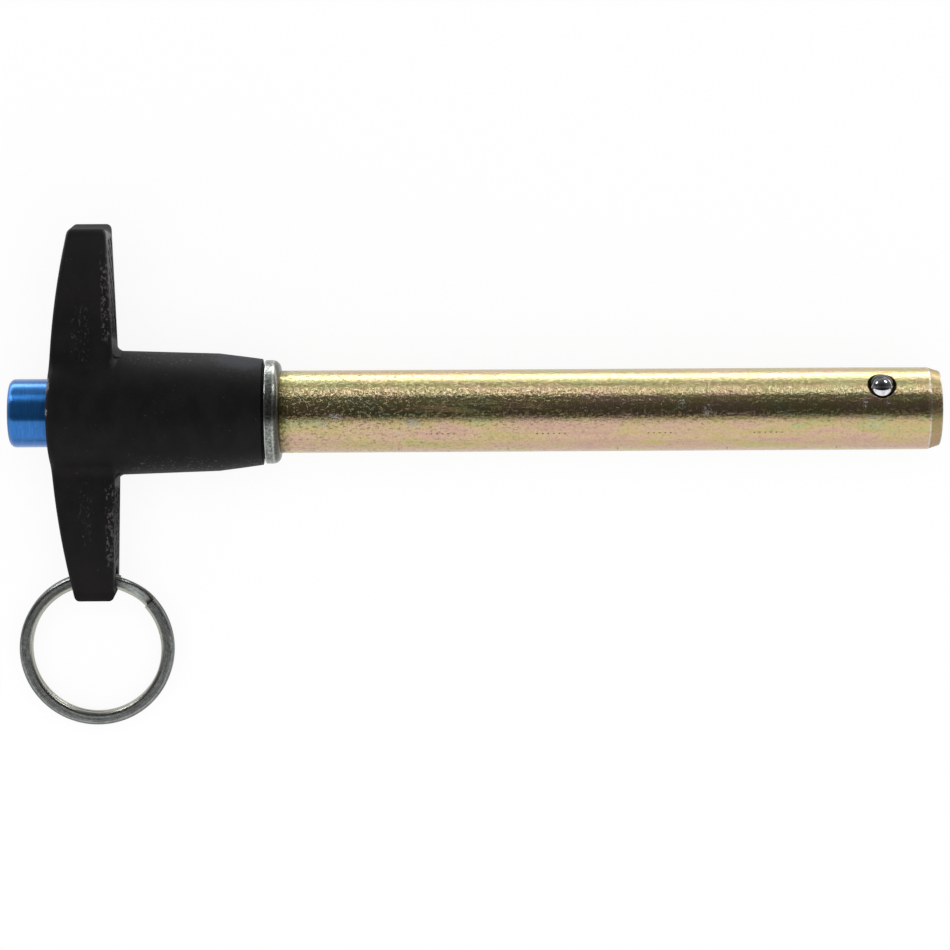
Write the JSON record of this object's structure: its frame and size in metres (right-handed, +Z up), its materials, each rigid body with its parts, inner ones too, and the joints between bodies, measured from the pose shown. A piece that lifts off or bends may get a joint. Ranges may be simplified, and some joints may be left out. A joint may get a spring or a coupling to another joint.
{
  "type": "ball lock pin",
  "caption": "T-handled quick release pin: pressing the button at the back lets the locking balls near the tip sink into the shank; a split ring hangs from the bar.",
  "frame": {"origin": "centre of the collar's shank-side face (the shoulder), on the pin's axis", "axes": "+X along the shank to its tip, -X to the button; +Z up from the table the pin lies on; the T-bar lies across, its free arm towards +Y and 9 degrees up, its split-ring arm towards -Y and 9 degrees down"},
  "size_m": [0.1432, 0.0775, 0.019],
  "materials": {
    "handle_plastic": "moulded black plastic, scuffed",
    "shank_steel": "yellow zinc chromate with pink and green iridescence",
    "collar_steel": "plain zinc plate, slightly rough",
    "button_aluminium": "blue anodised",
    "spindle_steel": "ground",
    "spring_steel": "oiled spring wire",
    "ball_steel": "polished",
    "ring_steel": "dull nickel plate"
  },
  "bodies": {
    "pin_body": {"handle": "handle_plastic", "shank": "shank_steel", "collar": "collar_steel", "return_spring": "spring_steel"},
    "plunger": {"button": "button_aluminium", "spindle": "spindle_steel"},
    "upper_ball": {"ball_upper": "ball_steel"},
    "lower_ball": {"ball_lower": "ball_steel"},
    "ring": {"split_ring": "ring_steel"}
  },
  "joints": [
    {"name": "button_press", "type": "slide", "parent": "pin_body", "child": "plunger", "axis": [1, 0, 0], "range_m": [0, 0.004], "stiffness_N_per_m": 1500, "springref_m": -0.004, "deforming": ["return_spring"]},
    {"name": "ball_upper_slide", "type": "slide", "parent": "pin_body", "child": "upper_ball", "axis": [0, 0.5592, 0.829], "range_m": [-0.00124, 0]},
    {"name": "ball_lower_slide", "type": "slide", "parent": "pin_body", "child": "lower_ball", "axis": [0, -0.5592, -0.829], "range_m": [-0.00124, 0]},
    {"name": "ring_swing", "type": "hinge", "parent": "pin_body", "child": "ring", "pos_m": [-0.02915, -0.02558, -0.00405], "axis": [1, 0, 0], "range_deg": [-140, 140]}
  ],
  "couplings": [
    {"joint": "ball_upper_slide", "follows": "button_press", "ratio": -0.30875},
    {"joint": "ball_lower_slide", "follows": "button_press", "ratio": -0.30875}
  ]
}
